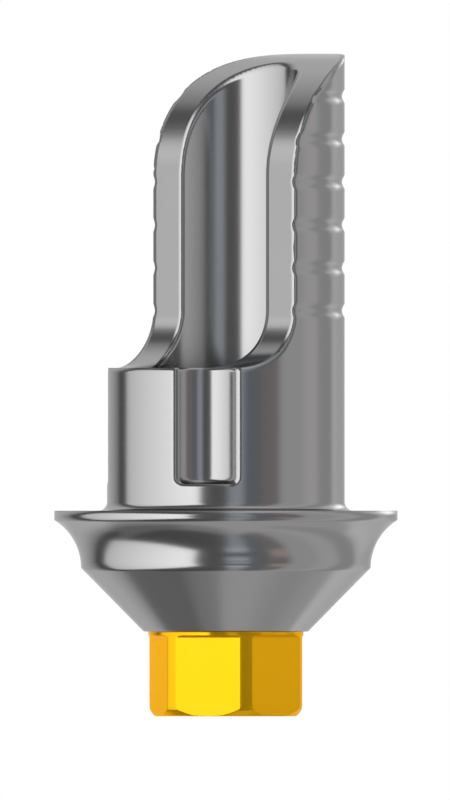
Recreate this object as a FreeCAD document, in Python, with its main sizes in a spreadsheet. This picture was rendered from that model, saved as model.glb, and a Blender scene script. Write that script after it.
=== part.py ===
import FreeCAD
import math
import os
import Part
import Sketcher

# Dental abutment, one turned and milled titanium piece, in millimetres.
# The implant axis is +Z, the end of the hexagon lies on Z = 0 and the cut-away window faces -Y.

# Driving sizes: name, value, what it measures
SIZES = [
    ("hex_across_flats", 2.50, "hexagon that enters the implant"),
    ("hex_corner_diameter", 2.775, "circle that the hexagon's corners are turned to"),
    ("hex_length", 1.513, "from the hexagon's end to the bevel"),
    ("hex_neck_height", 0.07, "round neck between the flats and the bevel"),
    ("hex_turn", 39.5, "degrees from the window's direction to the next flat, towards +X"),
    ("hex_end_diameter", 2.57, "end face, inside its chamfer"),
    ("hex_end_chamfer", 0.13, "height of the chamfer on the hexagon's corners"),
    ("bevel_base_diameter", 2.936, "small end of the bevel that seats on the implant"),
    ("bevel_height", 1.142, "height of the bevel"),
    ("collar_diameter", 5.18, "large end of the bevel"),
    ("collar_height", 1.022, "from the bevel's large end to the top of the rim"),
    ("lip_height", 0.168, "rim's edge, from its top to the hollow cove below"),
    ("rim_diameter", 6.14, "rim that carries the crown's margin"),
    ("post_diameter", 4.25, "post that the crown is bonded to"),
    ("post_root_radius", 0.16, "fillet where the post meets the rim"),
    ("ledge_height", 2.553, "from the rim to the ledge below the window"),
    ("wall_height", 5.62, "from the ledge to the top of the remaining wall"),
    ("bore_diameter", 2.56, "channel for the screw's head"),
    ("seat_height", 0.94, "from the hexagon to the top of the screw's seat"),
    ("seat_depth", 0.28, "height of the conical seat"),
    ("screw_hole_diameter", 2.00, "clearance hole through the hexagon"),
    ("screw_hole_lead", 0.08, "chamfer at the hole's lower mouth"),
    ("window_offset", 0.048, "from the axis to the window's plane"),
    ("heel_radius", 1.037, "hollow curve between the ledge and the window"),
    ("crest_radius", 2.181, "round curve from the window over the wall's top"),
    ("notch_web", 0.476, "wall left between the bore and each upright notch"),
    ("notch_radius", 0.672, "hollow curve of each notch, seen from above"),
    ("notch_angle", 44.1, "degrees from the window's direction to each notch"),
    ("notch_length", 2.041, "length of the notch below the ledge"),
    ("edge_radius", 0.09, "rounding of the milled edges"),
    ("rim_edge_radius", 0.045, "rounding of the rim's two edges"),
    ("collar_edge_radius", 0.04, "rounding of the bevel's large end"),
    ("groove_count", 6, "retention grooves round the wall"),
    ("groove_pitch", 0.767, "from one groove to the next"),
    ("groove_depth", 0.055, "depth of a groove"),
    ("groove_mouth", 0.23, "width of a groove at the wall's surface"),
    ("first_groove", 1.047, "from the ledge to the lowest groove"),
    ("cut_margin", 1.00, "how far each cut starts outside the piece"),
]

SHEET = "sizes"
NODE = "abutment"
HEX_SIDES = 6


class Size:
    """A length or an angle worked out from the sheet: its number, and the expression that keeps it bound."""

    def __init__(self, number, text):
        self.number = number
        self.text = text

    def _joined(self, other, number, sign):
        text = other.text if isinstance(other, Size) else str(other)
        return Size(number, f"({self.text} {sign} {text})")

    def __add__(self, other):
        return self._joined(other, self.number + float(other), "+")

    def __sub__(self, other):
        return self._joined(other, self.number - float(other), "-")

    def __mul__(self, other):
        return self._joined(other, self.number * float(other), "*")

    def __truediv__(self, other):
        return self._joined(other, self.number / float(other), "/")

    def __neg__(self):
        return Size(-self.number, f"(-{self.text})")

    def __float__(self):
        return float(self.number)


def same(first, second):
    """Two lengths or levels that agree but for rounding."""
    return math.isclose(first, second, rel_tol=1e-6)


def turned(function, angle):
    """The sine or cosine of an angle in degrees."""
    number = getattr(math, function)(math.radians(float(angle)))
    return Size(number, f"{function}({angle.text} * 1deg)")


def make_sheet(doc):
    """The spreadsheet of driving sizes, and the same sizes by name."""
    sheet = doc.addObject("Spreadsheet::Sheet", SHEET)
    for row, (name, value, meaning) in enumerate(SIZES, start=1):
        sheet.set(f"A{row}", name)
        sheet.set(f"B{row}", str(value))
        sheet.set(f"C{row}", meaning)
        sheet.setAlias(f"B{row}", name)
    doc.recompute()
    return {name: Size(value, f"{SHEET}.{name}") for name, value, _ in SIZES}


def new_feature(body, kind, name):
    """A feature that keeps each stretch of a wall as a face of its own."""
    feature = body.newObject(f"PartDesign::{kind}", name)
    if hasattr(feature, "Refine"):
        feature.Refine = False
    return feature


def new_sketch(body, name, plane):
    """An empty sketch on one of the body's own origin planes."""
    sketch = body.newObject("Sketcher::SketchObject", name)
    support = next(item for item in body.Origin.OriginFeatures if item.Role == plane)
    sketch.AttachmentSupport = [(support, "")]
    sketch.MapMode = "FlatFace"
    return sketch


def lathe_sketch(body, name):
    """A sketch through the axis, on the window's side of it, whose first coordinate is the radius."""
    sketch = new_sketch(body, name, "YZ_Plane")
    half_turn = FreeCAD.Rotation(FreeCAD.Vector(0, 1, 0), 180)
    sketch.AttachmentOffset = FreeCAD.Placement(FreeCAD.Vector(), half_turn)
    return sketch


def bind(sketch, kind, places, size):
    """One dimension of the sketch, bound to the sheet."""
    index = sketch.addConstraint(Sketcher.Constraint(kind, *places, float(size)))
    sketch.setExpression(f"Constraints[{index}]", size.text)


def fix_point(sketch, line, end, point):
    """Ties one end of a sketch line to its distances from the origin."""
    for kind, size in zip(("DistanceX", "DistanceY"), point):
        bind(sketch, kind, (-1, 1, line, end), size)


def join(sketch, first, second):
    """Joins the end of one sketch curve to the start of another."""
    sketch.addConstraint(Sketcher.Constraint("Coincident", first, 2, second, 1))


def vector(point):
    return FreeCAD.Vector(float(point[0]), float(point[1]), 0)


def add_line(sketch, start, end):
    return sketch.addGeometry(Part.LineSegment(vector(start), vector(end)))


def draw_polygon(sketch, corners):
    """A closed outline of straight lines through corners, each tied to the sheet."""
    pairs = zip(corners, corners[1:] + corners[:1])
    lines = [add_line(sketch, start, end) for start, end in pairs]
    for line, following in zip(lines, lines[1:] + lines[:1]):
        join(sketch, line, following)
    for line, corner in zip(lines, corners):
        fix_point(sketch, line, 1, corner)
    return lines


def add_arc(sketch, centre, radius, start_angle, end_angle):
    """An arc of a circle, counter-clockwise from the first angle to the second, in degrees."""
    circle = Part.Circle(vector(centre), FreeCAD.Vector(0, 0, 1), float(radius))
    turn = [math.radians(angle) for angle in (start_angle, end_angle)]
    return sketch.addGeometry(Part.ArcOfCircle(circle, *turn))


def heights(size):
    """The levels along the axis that several features share, from the hexagon's end upwards."""
    level = {}
    level["neck"] = size["hex_length"] - size["hex_neck_height"]
    level["bevel"] = size["hex_length"]
    level["collar"] = level["bevel"] + size["bevel_height"]
    level["rim"] = level["collar"] + size["collar_height"]
    level["ledge"] = level["rim"] + size["ledge_height"]
    level["top"] = level["ledge"] + size["wall_height"]
    level["blank"] = level["top"] + size["cut_margin"]
    level["seat"] = level["bevel"] + size["seat_height"]
    level["notch"] = level["ledge"] - size["notch_length"]
    level["foot"] = level["notch"] + size["edge_radius"] * 2
    return level


def turn_blank(body, size, level):
    """The whole piece as it leaves the lathe: post, rim, cove, bevel, hexagon blank and stepped bore.

    The post's wall is drawn in two stretches, the plain foot and what the window and notches open.
    """
    sketch = lathe_sketch(body, "blank_profile")
    bore = size["bore_diameter"] / 2
    hole = size["screw_hole_diameter"] / 2
    collar = size["collar_diameter"] / 2
    rim = size["rim_diameter"] / 2
    lip = (rim, level["rim"] - size["lip_height"])
    overhang = rim - collar
    rise = lip[1] - level["collar"]
    cove = (overhang * overhang + rise * rise) / overhang / 2
    post = size["post_diameter"] / 2
    hex_corner = size["hex_corner_diameter"] / 2
    above = [
        (rim, level["rim"]),
        (post, level["rim"]),
        (post, level["foot"]),
        (post, level["blank"]),
        (bore, level["blank"]),
        (bore, level["seat"]),
        (hole, level["seat"] - size["seat_depth"]),
        (hole, size["screw_hole_lead"]),
        (hole + size["screw_hole_lead"], Size(0.0, "0")),
        (size["hex_end_diameter"] / 2, Size(0.0, "0")),
        (hex_corner, size["hex_end_chamfer"]),
        (hex_corner, level["bevel"]),
        (size["bevel_base_diameter"] / 2, level["bevel"]),
        (collar, level["collar"]),
    ]
    chain = [add_line(sketch, start, end) for start, end in zip([lip] + above, above)]
    turn = math.degrees(math.atan2(float(rise), float(cove - overhang)))
    arc = add_arc(sketch, (collar + cove, level["collar"]), cove, 180 - turn, 180)
    for line, following in zip(chain, chain[1:]):
        join(sketch, line, following)
    for line, corner in zip(chain, above):
        fix_point(sketch, line, 2, corner)
    sketch.addConstraint(Sketcher.Constraint("Coincident", chain[-1], 2, arc, 2))
    sketch.addConstraint(Sketcher.Constraint("Coincident", arc, 1, chain[0], 1))
    sketch.addConstraint(Sketcher.Constraint("Vertical", chain[0]))
    sketch.addConstraint(Sketcher.Constraint("Horizontal", arc, 3, arc, 2))
    bind(sketch, "DistanceY", (-1, 1, chain[0], 1), lip[1])
    blank = new_feature(body, "Revolution", "turned_blank")
    blank.Profile = sketch
    blank.ReferenceAxis = (sketch, ["V_Axis"])
    blank.Angle = 360
    return blank


def circles_at(shape, radius, height):
    """The names of the round edges with that radius at that height."""
    found = []
    for number, edge in enumerate(shape.Edges, start=1):
        curve = edge.Curve
        if isinstance(curve, Part.Circle) and same(curve.Radius, radius) and same(curve.Center.z, height):
            found.append(f"Edge{number}")
    return found


def round_edges(body, name, base, edges, size):
    """Rounds the named edges of the last feature."""
    fillet = new_feature(body, "Fillet", name)
    fillet.Base = (base, edges)
    fillet.setExpression("Radius", size.text)
    return fillet


def round_blank(body, size, level, blank):
    """The turned roundings: the post's root, the rim's two edges and the bevel's large end."""
    document = body.Document
    post = float(size["post_diameter"]) / 2
    rim = float(size["rim_diameter"]) / 2
    collar = float(size["collar_diameter"]) / 2
    document.recompute()
    root = circles_at(blank.Shape, post, float(level["rim"]))
    rooted = round_edges(body, "post_root", blank, root, size["post_root_radius"])
    document.recompute()
    edges = [
        f"Edge{number}"
        for number, edge in enumerate(rooted.Shape.Edges, start=1)
        if isinstance(edge.Curve, Part.Circle) and same(edge.Curve.Radius, rim)
    ]
    lipped = round_edges(body, "rim_edges", rooted, edges, size["rim_edge_radius"])
    document.recompute()
    edges = circles_at(lipped.Shape, collar, float(level["collar"]))
    return round_edges(body, "collar_edge", lipped, edges, size["collar_edge_radius"])


def cut(body, name, sketch, length):
    """A pocket of that length below its sketch."""
    pocket = new_feature(body, "Pocket", name)
    pocket.Profile = sketch
    pocket.Type = "Length"
    pocket.setExpression("Length", length.text)
    return pocket


def mill_hexagon(body, size, level):
    """Six flats on the turned end, up to the round neck."""
    sketch = new_sketch(body, "hexagon_outline", "XY_Plane")
    half = size["hex_across_flats"] / 2
    outer = size["hex_corner_diameter"] / 2 + size["cut_margin"]
    step = 360 / HEX_SIDES
    reach = half / turned("cos", Size(step / 2, str(step / 2)))
    corners = []
    for side in range(HEX_SIDES):
        heading = size["hex_turn"] + step * (side - 1)
        corners.append((reach * turned("cos", heading), reach * turned("sin", heading)))
    draw_polygon(sketch, corners)
    circle = sketch.addGeometry(Part.Circle(FreeCAD.Vector(), FreeCAD.Vector(0, 0, 1), float(outer)))
    sketch.addConstraint(Sketcher.Constraint("Coincident", circle, 3, -1, 1))
    bind(sketch, "Radius", (circle,), outer)
    flats = cut(body, "hexagon_flats", sketch, level["neck"])
    flats.Reversed = True
    return flats


def mill_window(body, size, level):
    """The cut that opens the bore: ledge, hollow heel, upright plane and round crest, seen along X."""
    sketch = new_sketch(body, "window_profile", "YZ_Plane")
    margin = size["cut_margin"]
    reach = size["rim_diameter"] / 2 + margin
    plane = -size["window_offset"]
    heel = size["heel_radius"]
    crest = size["crest_radius"]
    over = level["blank"] + margin
    ledge_end = (plane - heel, level["ledge"])
    heel_end = (plane, level["ledge"] + heel)
    crest_start = (plane, level["top"] - crest)
    crest_end = (plane + crest, level["top"])
    ledge = add_line(sketch, (-reach, level["ledge"]), ledge_end)
    heel_arc = add_arc(sketch, (plane - heel, level["ledge"] + heel), heel, 270, 360)
    face = add_line(sketch, heel_end, crest_start)
    crest_arc = add_arc(sketch, (plane + crest, level["top"] - crest), crest, 90, 180)
    shelf = add_line(sketch, crest_end, (reach, level["top"]))
    back = add_line(sketch, (reach, level["top"]), (reach, over))
    cover = add_line(sketch, (reach, over), (-reach, over))
    front = add_line(sketch, (-reach, over), (-reach, level["ledge"]))
    for first, second in ((shelf, back), (back, cover), (cover, front), (front, ledge)):
        join(sketch, first, second)
    join(sketch, ledge, heel_arc)
    join(sketch, heel_arc, face)
    sketch.addConstraint(Sketcher.Constraint("Coincident", face, 2, crest_arc, 2))
    sketch.addConstraint(Sketcher.Constraint("Coincident", crest_arc, 1, shelf, 1))
    fix_point(sketch, ledge, 2, ledge_end)
    fix_point(sketch, face, 1, heel_end)
    fix_point(sketch, face, 2, crest_start)
    fix_point(sketch, shelf, 1, crest_end)
    fix_point(sketch, back, 2, (reach, over))
    fix_point(sketch, front, 1, (-reach, over))
    for flat in (shelf, ledge):
        sketch.addConstraint(Sketcher.Constraint("Horizontal", flat))
    for upright in (back, front):
        sketch.addConstraint(Sketcher.Constraint("Vertical", upright))
    bind(sketch, "Radius", (heel_arc,), heel)
    bind(sketch, "Radius", (crest_arc,), crest)
    window = cut(body, "window", sketch, reach * 2)
    window.SideType = "Symmetric"
    return window


def mill_notch(body, name, size, level, side):
    """One upright hollow notch in the post's wall, cut down from the ledge as deep as the web allows."""
    sketch = new_sketch(body, f"{name}_outline", "XY_Plane")
    start = level["ledge"] + size["heel_radius"]
    sketch.setExpression("AttachmentOffset.Base.z", start.text)
    radius = size["notch_radius"]
    out = size["bore_diameter"] / 2 + size["notch_web"] + radius
    across = out * turned("sin", size["notch_angle"]) * side
    centre = (across, -(out * turned("cos", size["notch_angle"])))
    circle = sketch.addGeometry(Part.Circle(vector(centre), FreeCAD.Vector(0, 0, 1), float(radius)))
    fix_point(sketch, circle, 3, centre)
    bind(sketch, "Radius", (circle,), radius)
    return cut(body, name, sketch, start - level["notch"])


def edge_names(shape, first, second):
    """The names of the edges with one face of the first kind and one of the second."""
    names = []
    for number, edge in enumerate(shape.Edges, start=1):
        faces = [face.Surface for face in shape.ancestorsOfType(edge, Part.Face)]
        if len(faces) == 2 and any(first(one) and second(other) for one, other in (faces, faces[::-1])):
            names.append(f"Edge{number}")
    return names


def is_upright(surface, radii):
    """A round wall along the axis with one of these radii."""
    if not isinstance(surface, Part.Cylinder) or not same(abs(surface.Axis.z), 1):
        return False
    return any(same(surface.Radius, radius) for radius in radii)


def round_window(body, size, window):
    """Rounds the window's edges all along the bore and the post's wall."""
    radii = [float(size[name]) / 2 for name in ("post_diameter", "bore_diameter")]

    def is_wall(surface):
        return is_upright(surface, radii)

    def is_window(surface):
        return isinstance(surface, (Part.Plane, Part.Cylinder)) and not is_wall(surface)

    body.Document.recompute()
    edges = edge_names(window.Shape, is_wall, is_window)
    return round_edges(body, "window_edges", window, edges, size["edge_radius"])


def round_floors(body, size, level, notched):
    """Rounds the outer edge of each notch's floor."""
    post = float(size["post_diameter"]) / 2
    floor = float(level["notch"])

    def is_wall(surface):
        return is_upright(surface, [post])

    def is_floor(surface):
        return isinstance(surface, Part.Plane) and same(surface.Position.z, floor)

    body.Document.recompute()
    edges = edge_names(notched.Shape, is_wall, is_floor)
    return round_edges(body, "floor_edges", notched, edges, size["edge_radius"])


def turn_grooves(body, size, level):
    """The retention grooves round the wall: one V, repeated up the axis."""
    sketch = lathe_sketch(body, "groove_profile")
    post = size["post_diameter"] / 2
    depth = size["groove_depth"]
    middle = level["ledge"] + size["first_groove"]
    mouth = size["groove_mouth"] / 2
    outer = post + depth
    corners = [
        (post - depth, middle),
        (post, middle - mouth),
        (outer, middle - mouth),
        (outer, middle + mouth),
        (post, middle + mouth),
    ]
    draw_polygon(sketch, corners)
    groove = new_feature(body, "Groove", "groove")
    groove.Profile = sketch
    groove.ReferenceAxis = (sketch, ["V_Axis"])
    groove.Angle = 360
    body.Document.recompute()
    grooves = new_feature(body, "LinearPattern", "retention_grooves")
    grooves.Originals = [groove]
    grooves.Direction = (sketch, ["V_Axis"])
    grooves.Mode = "Spacing"
    grooves.setExpression("Offset", size["groove_pitch"].text)
    grooves.setExpression("Occurrences", size["groove_count"].text)
    return grooves


def checked(doc, body):
    """The body's finished shape, once every object in the document has come out sound."""
    doc.recompute()
    for item in doc.Objects:
        if "Invalid" in item.State or "Error" in item.State:
            raise RuntimeError(f"{item.Name} failed: {item.State}")
    shape = body.Shape
    if shape.isNull() or not shape.isValid() or len(shape.Solids) != 1:
        raise RuntimeError(f"{body.Label} isn't one valid solid")
    return shape


def build():
    doc = FreeCAD.newDocument("dental_abutment")
    size = make_sheet(doc)
    level = heights(size)
    body = doc.addObject("PartDesign::Body", NODE)
    body.Label = NODE
    blank = turn_blank(body, size, level)
    round_blank(body, size, level, blank)
    mill_hexagon(body, size, level)
    round_window(body, size, mill_window(body, size, level))
    mill_notch(body, "left_notch", size, level, -1)
    notched = mill_notch(body, "right_notch", size, level, 1)
    round_floors(body, size, level, notched)
    body.Tip = turn_grooves(body, size, level)
    shape = checked(doc, body)
    os.makedirs("parts", exist_ok=True)
    shape.exportStep(f"parts/{body.Label}.step")
    box = shape.optimalBoundingBox(False)
    print(f"{body.Label}: {shape.Volume:.4f} mm3, {len(shape.Faces)} faces")
    print(f"box {box.XLength:.4f} x {box.YLength:.4f} x {box.ZLength:.4f} mm, from Z {box.ZMin:.4f}")


build()
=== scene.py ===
import math

import bmesh
import bpy
import numpy as np
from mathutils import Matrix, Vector


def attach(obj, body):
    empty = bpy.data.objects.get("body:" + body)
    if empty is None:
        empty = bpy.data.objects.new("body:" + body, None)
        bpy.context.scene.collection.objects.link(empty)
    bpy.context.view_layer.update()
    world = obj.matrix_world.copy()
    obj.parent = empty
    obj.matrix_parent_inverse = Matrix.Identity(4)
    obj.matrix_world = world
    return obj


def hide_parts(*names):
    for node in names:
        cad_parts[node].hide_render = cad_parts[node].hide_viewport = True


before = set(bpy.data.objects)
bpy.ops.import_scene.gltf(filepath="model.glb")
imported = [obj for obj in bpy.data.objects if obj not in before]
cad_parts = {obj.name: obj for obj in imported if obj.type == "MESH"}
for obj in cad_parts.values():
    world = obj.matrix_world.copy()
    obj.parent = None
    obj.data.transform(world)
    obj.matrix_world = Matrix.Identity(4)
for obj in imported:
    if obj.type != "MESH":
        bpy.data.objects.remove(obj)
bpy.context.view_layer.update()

# The piece is worked out in millimetres, as in the solids, and its mesh is scaled to metres at the end
MM = 0.001

# Heights above the hexagon's end face, and radii round the axis
LEVEL = {
    "neck": 1.443, "bevel": 1.513, "seat_foot": 2.173, "seat_top": 2.453, "collar": 2.655, "rim": 3.677,
    "notch": 4.153, "ledge": 6.230, "top": 11.847,
}
RADIUS = {
    "hole": 1.0, "bore": 1.28, "hex": 1.3875, "bevel": 1.468, "post": 2.125, "collar": 2.59, "rim": 3.07,
}
# The rounding of plain edges, and of the hollow where the hexagon meets the body
FINE_EDGE = 0.018

# The hexagon: half its width across flats, the directions of its flats in degrees, its chamfered end, its
# corners, the fillet at its neck and how far it reaches into the body
HEX_APOTHEM = 1.25
HEX_SIDES = 6
HEX_FLAT_AT = -50.5
FLATS_AT = [HEX_FLAT_AT + 360 / HEX_SIDES * side for side in range(HEX_SIDES)]
HEX_END_RADIUS = 1.264
HEX_END_HEIGHT = 0.13
HEX_END_ROUNDING = 0.04
HEX_CORNER = 0.006
NECK_FILLET = 3 * FINE_EDGE
HEX_OVERLAP = 0.2

# The rim: the lip above the cove, the roundings of its edges and the fillet at the post's root
LIP_HEIGHT = 0.168
RIM_TOP_EDGE = 0.105
RIM_EDGE = 0.055
COLLAR_EDGE = 0.065
ROOT_FILLET = 0.16

# The chamfer at the screw hole's lower end
LEAD = 0.08

# The window: its plane's distance in front of the axis, the radii at its ledge and at its top, and its edges
WINDOW_OFFSET = 0.048
HEEL = 1.037
CREST = 2.181
WINDOW_EDGE = 0.09

# The notches: their radius, how far out and how many degrees round from the window they stand, their edges
# and the hollow corner at their floor
NOTCH_RADIUS = 0.672
NOTCH_OUT = 2.428
NOTCH_ANGLE = 44.1
NOTCH_EDGE = 0.074
NOTCH_CORNER = 0.13

# The grooves: the mouth and the floor are half widths, and soft is the rounding of all their edges
GROOVES = {
    "count": 6, "first": 7.252, "pitch": 0.767, "depth": 0.052, "mouth": 0.125, "floor": 0.03, "soft": 0.03,
}

# The outline is nearly sharp while the light runs softly over the edges: the mesh takes this share of the
# roundings of the rim, the grooves, the window and the notches, and its normals take the whole
CRISP = 0.05
# How near one of the window's edges a point is moved onto it
EDGE_REACH = 0.02

# The skin's grid in runs of (start, end, step), closer where the shape turns: radii, heights up to the ledge,
# the steps from there to the top, and heights at the top
RADIUS_RUNS = (
    (0.93, 0.96, 0.03), (0.96, 1.12, 0.02), (1.12, 1.22, 0.05), (1.22, 1.42, 0.016), (1.42, 1.54, 0.03),
    (1.54, 2.0, 0.05), (2.0, 2.16, 0.016), (2.16, 2.32, 0.02), (2.32, 2.56, 0.05), (2.56, 3.02, 0.024),
    (3.02, 3.1, 0.01), (3.1, 3.16, 0.03),
)
LOWER_RUNS = (
    (-0.06, 0.0, 0.03), (0.0, 0.16, 0.016), (0.16, 1.38, 0.12), (1.38, 1.56, 0.012), (1.56, 2.14, 0.08),
    (2.14, 2.5, 0.03), (2.5, 2.6, 0.018), (2.6, 2.7, 0.009), (2.7, 2.8, 0.018), (2.8, 3.44, 0.035),
    (3.44, 3.7, 0.01), (3.7, 3.86, 0.018), (3.86, 4.06, 0.08), (4.06, 4.24, 0.012), (4.24, 6.08, 0.12),
    (6.08, 6.26, 0.016),
)
HEEL_STEP = 0.036
GROOVE_REACH = 0.15
GROOVE_STEP = 0.015
BETWEEN_STEP = 0.06
CREST_STEP = 0.03
TOP_RUNS = ((11.58, 11.88, 0.014), (11.88, 11.92, 0.02))

# The grid's angles in degrees: an even step, lines round each corner of the hexagon, lines where the window's
# plane cuts the wall, and how near to these an even line is left out
EVEN_STEP = 1.2
CORNER_LINES = (-0.45, -0.2, 0, 0.2, 0.45)
LIMB_LINES = np.arange(0.9, 3.2, 0.25)
EVEN_CLEARANCE = 0.12

# The step that slopes are measured over, and the least values that a move is divided by, which keep it short
SLOPE_STEP = 2e-4
LEAST_SLOPE_SQUARED = 0.2
LEAST_RISE = 0.5
LEAST_CROSSING = 0.1

MOST_TRIANGLES = 192_000

# The level where the gold ends, and how near to it a point counts as on it
GOLD_TOP = 1.507
LEVEL_TOLERANCE = 1e-6

# How near a milled surface the turned marks give way to milled ones, and how far above the neck's level the
# flats still count
MILLED_BAND = 0.05
FLATS_REACH = 0.03


def joined(a, b, fillet):
    """Two solids as one, with a fillet in the hollow corner between them."""
    within = np.hypot(np.maximum(fillet - a, 0), np.maximum(fillet - b, 0))
    return np.maximum(fillet, np.minimum(a, b)) - within


def shared(a, b, rounding):
    """What two solids share, with the ridge between their faces rounded."""
    beyond = np.hypot(np.maximum(rounding + a, 0), np.maximum(rounding + b, 0))
    return np.minimum(-rounding, np.maximum(a, b)) + beyond


def slope(r, z, foot, head):
    """Distance outside the line between two (radius, height) points, with the solid on the axis's side."""
    across, up = head[0] - foot[0], head[1] - foot[1]
    return ((r - foot[0]) * up - (z - foot[1]) * across) / math.hypot(across, up)


def grooved_wall(r, z, softness):
    """The post's wall with its retention grooves, each with two slanted flanks and a narrow floor."""
    nearest = np.clip(np.round((z - GROOVES["first"]) / GROOVES["pitch"]), 0, GROOVES["count"] - 1)
    off = np.abs(z - GROOVES["first"] - nearest * GROOVES["pitch"])
    bottom = RADIUS["post"] - GROOVES["depth"]
    run, depth = GROOVES["mouth"] - GROOVES["floor"], GROOVES["depth"]
    flank = ((r - bottom) * run - (off - GROOVES["floor"]) * depth) / math.hypot(run, depth)
    hollow = joined(flank, r - bottom, GROOVES["soft"])
    return shared(r - RADIUS["post"], hollow, GROOVES["soft"] * softness)


def turned_outside(r, z, softness):
    """Post, rim, cove and bevel."""
    lip = LEVEL["rim"] - LIP_HEIGHT
    # the cove is an arc that starts upright at the collar and ends at the lip
    overhang, rise = RADIUS["rim"] - RADIUS["collar"], lip - LEVEL["collar"]
    cove = (overhang ** 2 + rise ** 2) / (2 * overhang)
    hollow = cove - np.hypot(r - RADIUS["collar"] - cove, z - LEVEL["collar"])
    bevel = slope(r, z, (RADIUS["bevel"], LEVEL["bevel"]), (RADIUS["collar"], LEVEL["collar"]))
    rim = shared(r - RADIUS["rim"], z - LEVEL["rim"], RIM_TOP_EDGE * softness)
    rim = shared(rim, hollow, RIM_EDGE * softness)
    rim = shared(rim, bevel, COLLAR_EDGE * softness)
    post = np.maximum(grooved_wall(r, z, softness), lip - z)
    whole = joined(post, rim, ROOT_FILLET)
    return shared(whole, LEVEL["bevel"] - z, FINE_EDGE)


def flats(x, y):
    """Distance outside the six flats."""
    turns = [math.radians(side) for side in FLATS_AT]
    return np.max([x * math.cos(turn) + y * math.sin(turn) for turn in turns], axis=0) - HEX_APOTHEM


def hexagon(x, y, r, z):
    """The end that enters the implant: six flats on a turned blank, below a round neck."""
    chamfer = slope(r, z, (HEX_END_RADIUS, 0), (RADIUS["hex"], HEX_END_HEIGHT))
    blank = shared(r - RADIUS["hex"], chamfer, HEX_END_ROUNDING)
    blank = shared(blank, -z, FINE_EDGE)
    milled = joined(flats(x, y), LEVEL["neck"] - z, NECK_FILLET)
    return shared(shared(blank, milled, HEX_CORNER), z - LEVEL["bevel"] - HEX_OVERLAP, FINE_EDGE)


def bore(r, z):
    """Distance outside the screw's channel, its conical seat, the clearance hole and the lead chamfer."""
    seat = slope(r, z, (RADIUS["hole"], LEVEL["seat_foot"]), (RADIUS["bore"], LEVEL["seat_top"]))
    head = np.maximum(r - RADIUS["bore"], seat)
    lead = slope(r, z, (RADIUS["hole"] + LEAD, 0), (RADIUS["hole"], LEAD))
    return np.minimum(np.minimum(head, r - RADIUS["hole"]), lead)


def window(y, z):
    """What the window's cut leaves: everything below the ledge, and the wall behind the upright plane."""
    wall = shared(-y - WINDOW_OFFSET, z - LEVEL["top"], CREST)
    return joined(wall, z - LEVEL["ledge"], HEEL)


def notches(x, y, z):
    """Distance inside the two upright notches."""
    turn = math.radians(NOTCH_ANGLE)
    away = np.hypot(np.abs(x) - NOTCH_OUT * math.sin(turn), y + NOTCH_OUT * math.cos(turn))
    return joined(NOTCH_RADIUS - away, z - LEVEL["notch"], NOTCH_CORNER)


def abutment(p, softness=1.0):
    """Distance outside the whole piece, with the roundings that the mesh can sharpen times the softness."""
    x, y, z = p[..., 0], p[..., 1], p[..., 2]
    r = np.hypot(x, y)
    outside = joined(turned_outside(r, z, softness), hexagon(x, y, r, z), FINE_EDGE)
    kept = window(y, z)
    # the window's edges are rounded along the outside and along the bore
    edge = WINDOW_EDGE * softness
    solid = np.maximum(shared(outside, kept, edge), shared(-bore(r, z), kept, edge))
    return shared(solid, notches(x, y, z), NOTCH_EDGE * softness)


def crisp_abutment(p):
    """Distance outside the piece with its nearly sharp edges."""
    return abutment(p, CRISP)


def turned_wall(p):
    """Distance outside the turned surfaces alone."""
    return turned_outside(np.hypot(p[..., 0], p[..., 1]), p[..., 2], CRISP)


def bore_wall(p):
    """Distance inside the bore alone."""
    return -bore(np.hypot(p[..., 0], p[..., 1]), p[..., 2])


def window_wall(p):
    """Distance outside what the window's cut leaves."""
    return window(p[..., 1], p[..., 2])


def spaced(*runs):
    """Grid lines from runs of (start, end, step)."""
    lines = [np.linspace(a, b, max(1, round((b - a) / step)), endpoint=False) for a, b, step in runs]
    return np.append(np.concatenate(lines), runs[-1][1])


def height_runs():
    """The runs of heights, from below the hexagon's end to above the top."""
    runs = [*LOWER_RUNS, (LOWER_RUNS[-1][1], GROOVES["first"] - GROOVE_REACH, HEEL_STEP)]
    for number in range(GROOVES["count"]):
        middle = GROOVES["first"] + number * GROOVES["pitch"]
        end = middle + GROOVE_REACH
        runs.append((middle - GROOVE_REACH, end, GROOVE_STEP))
        runs.append((end, middle + GROOVES["pitch"] - GROOVE_REACH, BETWEEN_STEP))
    # above the last groove the wall runs on to the crest
    runs[-1] = (runs[-1][0], TOP_RUNS[0][0], CREST_STEP)
    return [*runs, *TOP_RUNS]


def grid_angles():
    """The grid's angles in radians."""
    half_flat = math.degrees(math.acos(HEX_APOTHEM / RADIUS["hex"]))
    corners = [side + end for side in FLATS_AT for end in (-half_flat, half_flat)]
    near = np.concatenate([np.add.outer(corners, CORNER_LINES).ravel(), 180 + LIMB_LINES, -LIMB_LINES]) % 360
    even = np.arange(0, 360, EVEN_STEP)
    even = even[[np.abs(near - angle).min() > EVEN_CLEARANCE for angle in even]]
    return np.radians(np.sort(np.concatenate([even, near])))


def cells_round(edges, first, second, count):
    """The numbers of the four cells round each grid edge, in order, given the two axes across the edge."""
    loop = []
    for back_first, back_second in ((1, 1), (0, 1), (0, 0), (1, 0)):
        cell = edges.copy()
        cell[first] -= back_first
        cell[second] -= back_second
        cell[0] %= count[0]
        loop.append((cell[0] * (count[1] - 1) + cell[1]) * (count[2] - 1) + cell[2])
    return np.array(loop).T


def mean_points(cells, crossings):
    """One point for each cell that has crossings on its edges, at their mean, and the cells' numbers."""
    numbers, place = np.unique(cells, return_inverse=True)
    place = place.ravel()
    total = np.bincount(place, minlength=len(numbers))
    every = np.repeat(crossings, 4, axis=0)
    sums = [np.bincount(place, weights=every[:, k], minlength=len(numbers)) for k in range(3)]
    return np.stack(sums, axis=-1) / total[:, None], numbers


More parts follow.
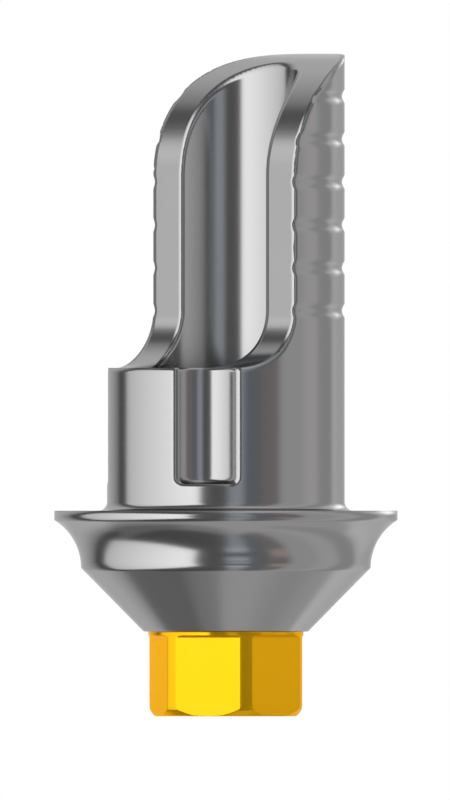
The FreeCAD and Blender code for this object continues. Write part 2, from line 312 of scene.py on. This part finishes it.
def skin(field, angles, radii, heights):
    """The surface where the field is zero, as points and quads, from a grid round the axis.

    Each grid edge that the surface crosses gives a quad between the four cells round it. A cell's point is the
    mean of the crossings on its edges.
    """
    ring = np.stack([np.cos(angles), np.sin(angles)], axis=-1)
    count = len(angles), len(radii), len(heights)
    points = np.empty(count + (3,))
    points[..., :2] = radii[None, :, None, None] * ring[:, None, None, :]
    points[..., 2] = heights
    value = field(points)
    inside = value < 0
    cells, crossings, quads = [], [], []
    for along, first, second in ((1, 0, 2), (0, 2, 1), (2, 1, 0)):
        crossed = inside != np.roll(inside, -1, axis=along)
        if along:
            # only the angles close up, so radii and heights have no edge from their last line to their first
            last = [slice(None)] * 3
            last[along] = -1
            crossed[tuple(last)] = False
        start = np.array(np.nonzero(crossed))
        end = start.copy()
        end[along] = (end[along] + 1) % count[along]
        a, b = value[tuple(start)], value[tuple(end)]
        share = (a / (a - b))[:, None]
        crossings.append(points[tuple(start)] * (1 - share) + points[tuple(end)] * share)
        loop = cells_round(start, first, second, count)
        cells.append(loop)
        quads.append(np.where((a < 0)[:, None], loop, loop[:, ::-1]))
    spots, numbers = mean_points(np.concatenate(cells), np.concatenate(crossings))
    return spots, np.searchsorted(numbers, np.concatenate(quads))


def gradient(field, points):
    """The field's slope at each point."""
    out = np.empty_like(points)
    for k in range(3):
        shift = np.zeros(3)
        shift[k] = SLOPE_STEP
        out[:, k] = (field(points + shift) - field(points - shift)) / (2 * SLOPE_STEP)
    return out


def dot(a, b):
    """The product of each pair of vectors."""
    return (a * b).sum(axis=1)


def settled(field, points, rounds=3):
    """The points moved onto the surface."""
    for _ in range(rounds):
        uphill = gradient(field, points)
        size = np.maximum(dot(uphill, uphill), LEAST_SLOPE_SQUARED)[:, None]
        points = points - field(points)[:, None] * uphill / size
    return points


def pushed(field, points, directions, rounds=5):
    """The points moved along their directions onto the surface."""
    for _ in range(rounds):
        value = field(points)
        rise = (field(points + directions * SLOPE_STEP) - value) / SLOPE_STEP
        points = points - directions * (value / np.maximum(rise, LEAST_RISE))[:, None]
    return points


def on_edge(points, first, second, rounds=4):
    """The points that lie close to the edge where two surfaces meet, moved onto it."""
    near = (np.abs(first(points)) < EDGE_REACH) & (np.abs(second(points)) < EDGE_REACH)
    some = points[near]
    for _ in range(rounds):
        a, b = first(some), second(some)
        up, over = gradient(first, some), gradient(second, some)
        # the shortest move that brings both distances to nothing
        up_up, over_over, up_over = dot(up, up), dot(over, over), dot(up, over)
        whole = np.maximum(up_up * over_over - up_over * up_over, LEAST_CROSSING)
        along_up = (a * over_over - b * up_over) / whole
        along_over = (b * up_up - a * up_over) / whole
        some = some - along_up[:, None] * up - along_over[:, None] * over
    close = np.linalg.norm(some - points[near], axis=1) < 2 * EDGE_REACH
    moved = points.copy()
    moved[np.nonzero(near)[0][close]] = some[close]
    return moved


def read_points(mesh):
    """The mesh's points as rows of three."""
    flat = np.empty(len(mesh.vertices) * 3)
    mesh.vertices.foreach_get("co", flat)
    return flat.reshape(-1, 3)


def write_points(mesh, points):
    """Moves the mesh's points to the given rows of three."""
    mesh.vertices.foreach_set("co", np.ascontiguousarray(points).ravel())
    mesh.update()


def thinned(mesh, most):
    """The mesh with about so many triangles, kept where the surface bends most."""
    holder = bpy.data.objects.new("thinning", mesh)
    bpy.context.scene.collection.objects.link(holder)
    modifier = holder.modifiers.new("thin", "DECIMATE")
    modifier.ratio = min(1.0, most / (2 * len(mesh.polygons)))
    modifier.use_collapse_triangulate = True
    result = bpy.data.meshes.new_from_object(holder.evaluated_get(bpy.context.evaluated_depsgraph_get()))
    bpy.data.objects.remove(holder)
    return result


def split_level(mesh, height):
    """Cuts the mesh's faces along a level, so that two materials can meet there."""
    work = bmesh.new()
    work.from_mesh(mesh)
    everything = work.verts[:] + work.edges[:] + work.faces[:]
    bmesh.ops.bisect_plane(work, geom=everything, plane_co=(0, 0, height), plane_no=(0, 0, 1))
    bmesh.ops.triangulate(work, faces=[face for face in work.faces if len(face.verts) > 3])
    work.to_mesh(mesh)
    work.free()


def soft_skin():
    """The piece's skin as a mesh in millimetres, thinned, and split where the gold ends."""
    points, quads = skin(abutment, grid_angles(), spaced(*RADIUS_RUNS), spaced(*height_runs()))
    rough = bpy.data.meshes.new("rough_skin")
    rough.from_pydata(settled(abutment, points), [], quads)
    mesh = thinned(rough, MOST_TRIANGLES)
    split_level(mesh, GOLD_TOP)
    return mesh


def sharpened(points, normals):
    """The soft skin's points moved along their normals onto the crisp one, and onto the window's edges."""
    points = pushed(crisp_abutment, points, normals)
    points = on_edge(points, turned_wall, window_wall)
    return on_edge(points, bore_wall, window_wall)


def milled_share(points):
    """How far each point lies on a milled face, from 0 on the turned ones to 1."""
    x, y, z = points.T
    to_flat = np.where(z < LEVEL["neck"] + FLATS_REACH, np.abs(flats(x, y)), np.inf)
    nearest = np.minimum(np.minimum(np.abs(window(y, z)), np.abs(notches(x, y, z))), to_flat)
    return 1 - np.clip(nearest / MILLED_BAND, 0, 1)


def make_abutment():
    """The whole piece as one mesh, with soft normals on nearly sharp edges and gold on the hexagon."""
    mesh = soft_skin()
    points = read_points(mesh)
    on_split = np.isclose(points[:, 2], GOLD_TOP, atol=LEVEL_TOLERANCE)
    points = settled(abutment, points)
    points[on_split, 2] = GOLD_TOP
    normals = gradient(abutment, points)
    normals /= np.linalg.norm(normals, axis=1, keepdims=True)
    points = sharpened(points, normals)
    points[on_split, 2] = GOLD_TOP
    write_points(mesh, points * MM)
    mesh.materials.append(titanium())
    mesh.materials.append(gold_layer())
    is_gold = np.array([face.center.z for face in mesh.polygons]) < GOLD_TOP * MM
    mesh.polygons.foreach_set("material_index", is_gold.astype(np.int32))
    mesh.polygons.foreach_set("use_smooth", np.ones(len(mesh.polygons), dtype=bool))
    share = mesh.attributes.new("milled", "FLOAT", "POINT")
    share.data.foreach_set("value", milled_share(points))
    mesh.normals_split_custom_set_from_vertices(normals)
    piece = bpy.data.objects.new("abutment_body", mesh)
    bpy.context.scene.collection.objects.link(piece)
    return piece


class Nodes:
    """A material's node tree, built one node at a time."""

    def __init__(self, name):
        self.material = bpy.data.materials.new(name)
        self.material.use_nodes = True
        self.tree = self.material.node_tree
        self.shader = next(node for node in self.tree.nodes if node.type == "BSDF_PRINCIPLED")
        self.output = next(node for node in self.tree.nodes if node.type == "OUTPUT_MATERIAL")

    def add(self, kind, **settings):
        """A new node with its settings."""
        node = self.tree.nodes.new(kind)
        for name, value in settings.items():
            setattr(node, name, value)
        return node

    def link(self, source, target):
        """Joins an output to an input."""
        self.tree.links.new(source, target)

    def math(self, operation, a, b=None, c=None):
        """The result of one operation on numbers or outputs."""
        node = self.add("ShaderNodeMath", operation=operation)
        for socket, value in zip(node.inputs, (a, b, c)):
            if isinstance(value, (int, float)):
                socket.default_value = value
            elif value is not None:
                self.link(value, socket)
        return node.outputs[0]


# The tool's marks and the soft patches: how fine they are and how much each adds to the roughness, how close
# the marks lie on level faces against upright ones, and how far the roughness varies
MARKS = {"scale": 15000, "detail": 4, "roughness": 0.62, "weight": 0.4}
PATCHES = {"scale": 900, "detail": 3, "weight": 0.6}
LEVEL_SHARE = 0.8
ROUGHNESS_SPREAD = 0.05


def tool_marks(nodes, place):
    """Fine marks of the tool, 0 to 1: rings on the turned faces, straight feed lines on the milled ones."""
    parts = nodes.add("ShaderNodeSeparateXYZ")
    nodes.link(place, parts.inputs[0])
    x, y, z = parts.outputs
    radius = nodes.math("SQRT", nodes.math("ADD", nodes.math("MULTIPLY", x, x), nodes.math("MULTIPLY", y, y)))
    share = nodes.add("ShaderNodeAttribute", attribute_name="milled").outputs["Fac"]
    across = nodes.add("ShaderNodeMix", data_type="FLOAT")
    nodes.link(share, across.inputs["Factor"])
    nodes.link(nodes.math("MULTIPLY", radius, LEVEL_SHARE), across.inputs["A"])
    nodes.link(nodes.math("MULTIPLY", y, LEVEL_SHARE), across.inputs["B"])
    path = nodes.math("ADD", z, across.outputs["Result"])
    marks = nodes.add("ShaderNodeTexNoise", noise_dimensions="1D")
    marks.inputs["Scale"].default_value = MARKS["scale"]
    marks.inputs["Detail"].default_value = MARKS["detail"]
    marks.inputs["Roughness"].default_value = MARKS["roughness"]
    nodes.link(path, marks.inputs["W"])
    return marks.outputs["Fac"]


def finish_metal(nodes, roughness, depth):
    """Roughness that varies with soft patches and the tool's marks, and a slight bump from the marks."""
    place = nodes.add("ShaderNodeTexCoord").outputs["Object"]
    marks = tool_marks(nodes, place)
    patches = nodes.add("ShaderNodeTexNoise")
    patches.inputs["Scale"].default_value = PATCHES["scale"]
    patches.inputs["Detail"].default_value = PATCHES["detail"]
    nodes.link(place, patches.inputs["Vector"])
    soft = nodes.math("MULTIPLY", patches.outputs["Fac"], PATCHES["weight"])
    both = nodes.math("ADD", soft, nodes.math("MULTIPLY", marks, MARKS["weight"]))
    varied = nodes.math("MULTIPLY_ADD", both, ROUGHNESS_SPREAD, roughness - ROUGHNESS_SPREAD / 2)
    nodes.link(varied, nodes.shader.inputs["Roughness"])
    bump = nodes.add("ShaderNodeBump")
    bump.inputs["Strength"].default_value = 1.0
    bump.inputs["Distance"].default_value = depth
    nodes.link(marks, bump.inputs["Height"])
    nodes.link(bump.outputs[0], nodes.shader.inputs["Normal"])


def titanium():
    """Bright turned titanium, hardly lighter at grazing angles than face on."""
    nodes = Nodes("bright_titanium")
    nodes.shader.inputs["Base Color"].default_value = (0.42, 0.42, 0.421, 1)
    nodes.shader.inputs["Metallic"].default_value = 1
    nodes.shader.inputs["Specular Tint"].default_value = (0.58, 0.58, 0.58, 1)
    finish_metal(nodes, roughness=0.19, depth=2.0e-7)
    return nodes.material


def gold_layer():
    """The anodised gold of the hexagon, paler at grazing angles."""
    nodes = Nodes("gold_anodised_titanium")
    nodes.shader.inputs["Base Color"].default_value = (1.0, 0.54, 0.009, 1)
    nodes.shader.inputs["Metallic"].default_value = 0.68
    nodes.shader.inputs["Specular IOR Level"].default_value = 0
    nodes.shader.inputs["Specular Tint"].default_value = (1.0, 0.69, 0.43, 1)
    finish_metal(nodes, roughness=0.13, depth=1.0e-7)
    return nodes.material


NEUTRAL = (1.0, 1.0, 1.0)
COOL = (0.93, 1.0, 1.09)
COLD = (0.86, 0.98, 1.18)
WARM = (1.09, 0.96, 0.95)
AMBER = (1.15, 0.95, 0.84)
ORANGE = (1.05, 0.94, 0.93)
# The light dome's panels and flags, each over the ones before it: degrees round from the camera, negative to
# its left, degrees up, level at the left and the right end, tint
PANELS = [
    # overhead on the right, and below on the left
    (0, 180, 40, 89.9, 0.72, 0.72, NEUTRAL),
    (-140, 0, -87, -60, 0.40, 0.36, NEUTRAL),
    # round the left side, from behind to the camera
    (-180, -148, -76, 40, 0.61, 0.61, NEUTRAL),
    (-148, -132, -70, 66, 0.56, 0.29, NEUTRAL),
    (-132, -102, -74, 66, 0.235, 0.27, NEUTRAL),
    (-102, 1, -77, 70, 0.122, 0.15, NEUTRAL),
    # round the right side, from the camera to behind
    (1, 4, -76, 60, 0.34, 0.34, COOL),
    (4, 18, -76, 60, 0.57, 0.54, COOL),
    (18, 27, -72, 60, 0.21, 0.21, COLD),
    (27, 37, -72, 60, 0.21, 0.24, NEUTRAL),
    (37, 54, -76, 60, 0.27, 0.27, WARM),
    (54, 80, -76, 62, 0.60, 0.55, NEUTRAL),
    (80, 102, -76, 62, 0.64, 0.67, NEUTRAL),
    (88.5, 94.7, -6, 6, 0.70, 0.70, ORANGE),
    (102, 124, -76, 62, 0.50, 0.50, NEUTRAL),
    (124, 180, -76, 62, 0.62, 0.66, NEUTRAL),
    # low strips on the right
    (39, 52, -36, -22, 0.50, 0.50, AMBER),
    (0, 19, -42, -33, 0.74, 0.74, COOL),
    (0, 19, -31, -23, 0.16, 0.16, NEUTRAL),
    (0, 19, -22, -14, 0.70, 0.70, COOL),
    (0, 19, -12, -5, 0.22, 0.22, NEUTRAL),
    # the main light box on the left, with a dark flag beside its far end and two bright strips at that end
    (-130, -112, -46, 46, 0.10, 0.10, NEUTRAL),
    (-113, -25, -44, 45, 1.02, 2.00, NEUTRAL),
    (-113, -108.6, 9, 21, 1.50, 1.50, NEUTRAL),
    (-113, -108.6, -21, -9, 1.14, 1.14, NEUTRAL),
    # light boxes behind the piece, one of them with a bright middle
    (126, 180, -42, 38, 0.92, 0.96, NEUTRAL),
    (134, 172, -40, -12, 1.06, 1.06, NEUTRAL),
    (-180, -150, -45, 38, 1.12, 1.06, NEUTRAL),
    (-150, -128, -45, 38, 1.06, 0.36, NEUTRAL),
    (136, 168, 9, 28, 1.5, 1.5, NEUTRAL),
    (144, 162, 12, 25, 3.0, 3.0, NEUTRAL),
]
# The width of a panel's soft edge in degrees, and the dome's levels where no panel lies, above and below
PANEL_BLEND = 2.5
ZENITH = 0.30
NADIR = 0.63

# The set, in metres: the dome and the steps of its mesh in degrees, the floor, and the lamp and its watts
DOME_RADIUS = 0.3
DOME_MIDDLE = 0.0055
DOME_STEP_ROUND = 1.5
DOME_STEP_UP = 2
FLOOR_HALF = 0.4
LAMP_WIDTH = 0.12
LAMP_HEIGHT = 0.2
LAMP_POWER = 0.12

# The camera, in metres: degrees round from the window towards +X, how far off it stands, from where to where
# it sees, the height of its picture, and how far left of the axis and how high the picture's middle lies
CAMERA_TURN = 53.7
CAMERA_AWAY = 0.1
CAMERA_CLIP = (0.001, 5)
VIEW_HEIGHT = 0.014304
VIEW_LEFT = 0.0000148
VIEW_MIDDLE = 0.0056555


def dome_light(turn, rise):
    """The dome's light towards directions given in degrees round from the camera and degrees up."""
    light = np.where(rise < 0, NADIR, ZENITH)[..., None] * np.ones(3)
    for start, end, low, high, first, last, tint in PANELS:
        half = (end - start) / 2
        across = (turn - start - half + 180) % 360 - 180
        # a panel is flat, so its upper and lower edges come nearer the horizon towards its ends
        slant = np.cos(np.radians(np.clip(across, -half, half)))
        top = np.degrees(np.arctan(math.tan(math.radians(high)) * slant))
        bottom = np.degrees(np.arctan(math.tan(math.radians(low)) * slant))
        inner = np.minimum(half - np.abs(across), np.minimum(top - rise, rise - bottom))
        cover = np.clip(inner / PANEL_BLEND + 0.5, 0, 1)
        level = first + (last - first) * np.clip((across + half) / (2 * half), 0, 1)
        light += cover[..., None] * (level[..., None] * np.array(tint) - light)
    return light


def glow(name):
    """An emission whose colour is stored in the mesh."""
    nodes = Nodes(name)
    colour = nodes.add("ShaderNodeAttribute", attribute_name="light")
    shine = nodes.add("ShaderNodeEmission")
    nodes.link(colour.outputs["Color"], shine.inputs["Color"])
    nodes.link(shine.outputs[0], nodes.output.inputs["Surface"])
    return nodes.material


def staged(name, mesh):
    """The mesh as an object of the set, which isn't part of the piece."""
    piece = bpy.data.objects.new(name, mesh)
    bpy.context.scene.collection.objects.link(piece)
    return piece


def make_dome():
    """A round light dome with soft panels and flags, all round the object and below it."""
    turns, rises = np.arange(0, 360, DOME_STEP_ROUND), np.arange(-90, 91, DOME_STEP_UP)
    turn, rise = np.meshgrid(turns, rises, indexing="ij")
    # the camera stands CAMERA_TURN round from -Y, and directions count from +X
    heading, up = np.radians(CAMERA_TURN - 90 + turn), np.radians(rise)
    out = DOME_RADIUS * np.cos(up)
    high = DOME_MIDDLE + DOME_RADIUS * np.sin(up)
    points = np.stack([out * np.cos(heading), out * np.sin(heading), high], axis=-1)
    rows = len(rises)
    here = np.arange(len(turns))[:, None] * rows + np.arange(rows - 1)
    beside = (here + rows) % (len(turns) * rows)
    faces = np.stack([here, beside, beside + 1, here + 1], axis=-1).reshape(-1, 4)
    mesh = bpy.data.meshes.new("light_dome")
    mesh.from_pydata(points.reshape(-1, 3), [], faces)
    colours = mesh.color_attributes.new("light", "FLOAT_COLOR", "POINT")
    lights = dome_light(turn, rise).reshape(-1, 3)
    colours.data.foreach_set("color", np.c_[lights, np.ones(len(lights))].ravel())
    mesh.materials.append(glow("dome_light"))
    dome = staged("light_dome", mesh)
    dome.visible_camera = False


def make_floor():
    """A plain pale floor, which the metal doesn't mirror: the photo shows the piece hanging free."""
    signs = ((-1, -1), (1, -1), (1, 1), (-1, 1))
    corners = [(x * FLOOR_HALF, y * FLOOR_HALF, 0) for x, y in signs]
    mesh = bpy.data.meshes.new("floor")
    mesh.from_pydata(corners, [], [(0, 1, 2, 3)])
    nodes = Nodes("pale_floor")
    nodes.shader.inputs["Base Color"].default_value = (0.86, 0.86, 0.86, 1)
    nodes.shader.inputs["Roughness"].default_value = 0.5
    mesh.materials.append(nodes.material)
    floor = staged("floor", mesh)
    floor.visible_glossy = False


def make_lamp():
    """A wide soft lamp overhead that lights the floor, and isn't mirrored in the metal."""
    light = bpy.data.lights.new("overhead_lamp", "AREA")
    light.shape = "DISK"
    light.size = LAMP_WIDTH
    light.energy = LAMP_POWER
    lamp = bpy.data.objects.new("overhead_lamp", light)
    lamp.location = (0, 0, LAMP_HEIGHT)
    lamp.visible_glossy = False
    bpy.context.scene.collection.objects.link(lamp)


def make_world():
    """A plain white surround, the background of the photo's view."""
    world = bpy.data.worlds.new("white_room")
    world.use_nodes = True
    backdrop = next(node for node in world.node_tree.nodes if node.type == "BACKGROUND")
    backdrop.inputs["Color"].default_value = (1, 1, 1, 1)
    backdrop.inputs["Strength"].default_value = 1
    bpy.context.scene.world = world


def make_camera():
    """The photo's view: level, square to the object and without perspective."""
    turn = math.radians(CAMERA_TURN)
    back = Vector((math.sin(turn), -math.cos(turn), 0))
    right = Vector((math.cos(turn), math.sin(turn), 0))
    data = bpy.data.cameras.new("camera")
    data.type = "ORTHO"
    data.ortho_scale = VIEW_HEIGHT
    data.clip_start, data.clip_end = CAMERA_CLIP
    camera = bpy.data.objects.new("camera", data)
    camera.location = back * CAMERA_AWAY - right * VIEW_LEFT + Vector((0, 0, VIEW_MIDDLE))
    camera.rotation_euler = (math.radians(90), 0, turn)
    bpy.context.scene.collection.objects.link(camera)
    bpy.context.scene.camera = camera


make_camera()
make_world()
make_floor()
make_dome()
make_lamp()
bpy.context.scene.view_settings.view_transform = "Standard"

body = make_abutment()
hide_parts("abutment")
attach(body, "root")
